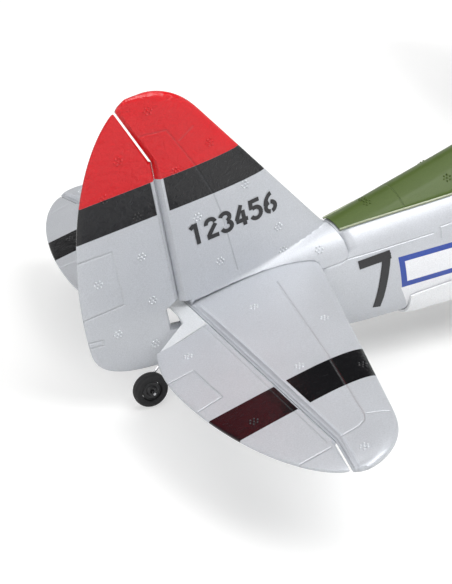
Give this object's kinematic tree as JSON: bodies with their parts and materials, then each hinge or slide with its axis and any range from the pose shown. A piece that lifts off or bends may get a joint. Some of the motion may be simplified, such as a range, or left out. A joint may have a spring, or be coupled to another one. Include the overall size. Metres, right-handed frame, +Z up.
{
  "type": "rc warbird plane",
  "caption": "Moulded-foam radio-control model of a razorback radial-engined fighter, standing on its wheels, with working control surfaces, propeller and lift-off canopy hatch.",
  "frame": {"origin": "middle of the bounding box on the ground plane under the three wheels", "axes": "+X towards the nose along the ground, +Y towards the left wing tip, +Z up; the aeroplane sits nose-up at its three-point ground angle"},
  "size_m": [0.5054, 0.56, 0.1695],
  "materials": {
    "silver_foam": "silver paint over moulded foam, satin",
    "olive_foam": "olive paint over moulded foam, satin",
    "red_cowl": "red paint over moulded plastic",
    "black_plastic": "moulded black plastic",
    "rubber": "dense foam rubber",
    "steel_wire": "bright wire",
    "aluminium": "turned",
    "carbon": "pultruded carbon tube",
    "nylon": "white moulded nylon",
    "canopy": "clear vacuum-formed plastic",
    "battery_wrap": "shrink wrap",
    "circuit_board": "glass-epoxy board",
    "plywood": "thin plywood",
    "windings": "enamelled copper"
  },
  "bodies": {
    "airframe": {"fuselage_left": "silver_foam", "fuselage_right": "silver_foam", "turtledeck": "olive_foam", "fin": "silver_foam", "stabilizer": "silver_foam", "wing_left": "silver_foam", "wing_right": "silver_foam", "wing_joiner": "carbon", "aileron_servo_left": "black_plastic", "aileron_servo_right": "black_plastic", "gun_barrels_left": "steel_wire", "gun_barrels_right": "steel_wire", "gear_leg_left": "steel_wire", "gear_leg_right": "steel_wire", "gear_door_left": "silver_foam", "gear_door_right": "silver_foam", "cowl": "red_cowl", "dummy_engine": "black_plastic", "firewall": "plywood", "motor_mount": "black_plastic", "motor_stator": "windings", "turbo_fairing": "silver_foam", "turbo_outlet": "black_plastic", "equipment_tray": "plywood", "battery": "battery_wrap", "receiver": "circuit_board", "elevator_servo": "black_plastic", "rudder_servo": "black_plastic"},
    "propeller": {"motor_bell": "aluminium", "propeller": "black_plastic", "spinner": "aluminium"},
    "aileron_left": {"aileron_left": "silver_foam", "aileron_horn_left": "nylon"},
    "aileron_right": {"aileron_right": "silver_foam", "aileron_horn_right": "nylon"},
    "elevator": {"elevator_left": "silver_foam", "elevator_right": "silver_foam", "elevator_joiner": "silver_foam", "elevator_horn": "nylon"},
    "rudder": {"rudder": "silver_foam", "rudder_horn": "nylon", "tailwheel_strut": "steel_wire"},
    "tail_wheel": {"tail_tyre": "rubber", "tail_hub": "nylon"},
    "wheel_left": {"main_tyre_left": "rubber", "main_hub_left": "aluminium"},
    "wheel_right": {"main_tyre_right": "rubber", "main_hub_right": "aluminium"},
    "hatch": {"canopy_hatch": "olive_foam", "canopy_glazing": "canopy", "hatch_magnet": "steel_wire"},
    "elevator_arm": {"elevator_arm": "nylon"},
    "rudder_arm": {"rudder_arm": "nylon"},
    "aileron_arm_left": {"aileron_arm_left": "nylon"},
    "aileron_arm_right": {"aileron_arm_right": "nylon"},
    "elevator_rod": {"elevator_rod": "steel_wire"},
    "rudder_rod": {"rudder_rod": "steel_wire"},
    "aileron_rod_left": {"aileron_rod_left": "steel_wire"},
    "aileron_rod_right": {"aileron_rod_right": "steel_wire"}
  },
  "joints": [
    {"name": "prop_spin", "type": "hinge", "parent": "airframe", "child": "propeller", "pos_m": [0.23706, 0, 0.11251], "axis": [0.9769, 0, 0.2138], "continuous": true},
    {"name": "aileron_left_hinge", "type": "hinge", "parent": "airframe", "child": "aileron_left", "pos_m": [0.05729, 0.1729, 0.06929], "axis": [0.1447, 0.9829, 0.1143], "range_deg": [-20, 20]},
    {"name": "aileron_right_hinge", "type": "hinge", "parent": "airframe", "child": "aileron_right", "pos_m": [0.05729, -0.1729, 0.06929], "axis": [-0.1447, 0.9829, -0.1143], "range_deg": [-20, 20]},
    {"name": "elevator_hinge", "type": "hinge", "parent": "airframe", "child": "elevator", "pos_m": [-0.21463, 0, 0.03415], "axis": [0, 1, 0], "range_deg": [-20, 20]},
    {"name": "rudder_hinge", "type": "hinge", "parent": "airframe", "child": "rudder", "pos_m": [-0.21737, 0, 0.03355], "axis": [-0.1745, 0, 0.9847], "range_deg": [-25, 25]},
    {"name": "tail_wheel_spin", "type": "hinge", "parent": "rudder", "child": "tail_wheel", "pos_m": [-0.22878, 0, 0.00618], "axis": [0, 1, 0], "continuous": true},
    {"name": "wheel_left_spin", "type": "hinge", "parent": "airframe", "child": "wheel_left", "pos_m": [0.14686, 0.1075, 0.01948], "axis": [0, 1, 0], "continuous": true},
    {"name": "wheel_right_spin", "type": "hinge", "parent": "airframe", "child": "wheel_right", "pos_m": [0.14686, -0.1075, 0.01948], "axis": [0, 1, 0], "continuous": true},
    {"name": "hatch_lift", "type": "slide", "parent": "airframe", "child": "hatch", "axis": [-0.2138, 0, 0.9769], "range_m": [0, 0.06]},
    {"name": "elevator_arm_turn", "type": "hinge", "parent": "airframe", "child": "elevator_arm", "pos_m": [0.01056, 0.0179, 0.06694], "axis": [0, 1, 0], "range_deg": [-20, 20]},
    {"name": "rudder_arm_turn", "type": "hinge", "parent": "airframe", "child": "rudder_arm", "pos_m": [0.01056, 0.0035, 0.06694], "axis": [0, 1, 0], "range_deg": [-25, 25]},
    {"name": "aileron_arm_left_turn", "type": "hinge", "parent": "airframe", "child": "aileron_arm_left", "pos_m": [0.0804, 0.16891, 0.07434], "axis": [0.1447, 0.9829, 0.1143], "range_deg": [-20, 20]},
    {"name": "aileron_arm_right_turn", "type": "hinge", "parent": "airframe", "child": "aileron_arm_right", "pos_m": [0.0804, -0.16891, 0.07434], "axis": [-0.1447, 0.9829, -0.1143], "range_deg": [-20, 20]},
    {"name": "elevator_rod_slide", "type": "slide", "parent": "airframe", "child": "elevator_rod", "axis": [0.9769, -0.0137, 0.2133], "range_m": [-0.0029, 0.0029]},
    {"name": "rudder_rod_slide", "type": "slide", "parent": "airframe", "child": "rudder_rod", "axis": [0.9753, -0.0139, 0.2205], "range_m": [-0.0036, 0.0036]},
    {"name": "aileron_rod_left_slide", "type": "slide", "parent": "airframe", "child": "aileron_rod_left", "axis": [0.9633, -0.1663, 0.2108], "range_m": [-0.0026, 0.0026]},
    {"name": "aileron_rod_right_slide", "type": "slide", "parent": "airframe", "child": "aileron_rod_right", "axis": [0.9633, 0.1663, 0.2108], "range_m": [-0.0026, 0.0026]}
  ],
  "couplings": [
    {"joint": "elevator_arm_turn", "follows": "elevator_hinge", "ratio": -1},
    {"joint": "elevator_rod_slide", "follows": "elevator_hinge", "m_per_rad": -0.008},
    {"joint": "rudder_arm_turn", "follows": "rudder_hinge", "ratio": -1},
    {"joint": "rudder_rod_slide", "follows": "rudder_hinge", "m_per_rad": -0.008},
    {"joint": "aileron_right_hinge", "follows": "aileron_left_hinge", "ratio": -1},
    {"joint": "aileron_arm_left_turn", "follows": "aileron_left_hinge", "ratio": 1},
    {"joint": "aileron_arm_right_turn", "follows": "aileron_left_hinge", "ratio": -1},
    {"joint": "aileron_rod_left_slide", "follows": "aileron_left_hinge", "m_per_rad": -0.007},
    {"joint": "aileron_rod_right_slide", "follows": "aileron_left_hinge", "m_per_rad": 0.007}
  ]
}
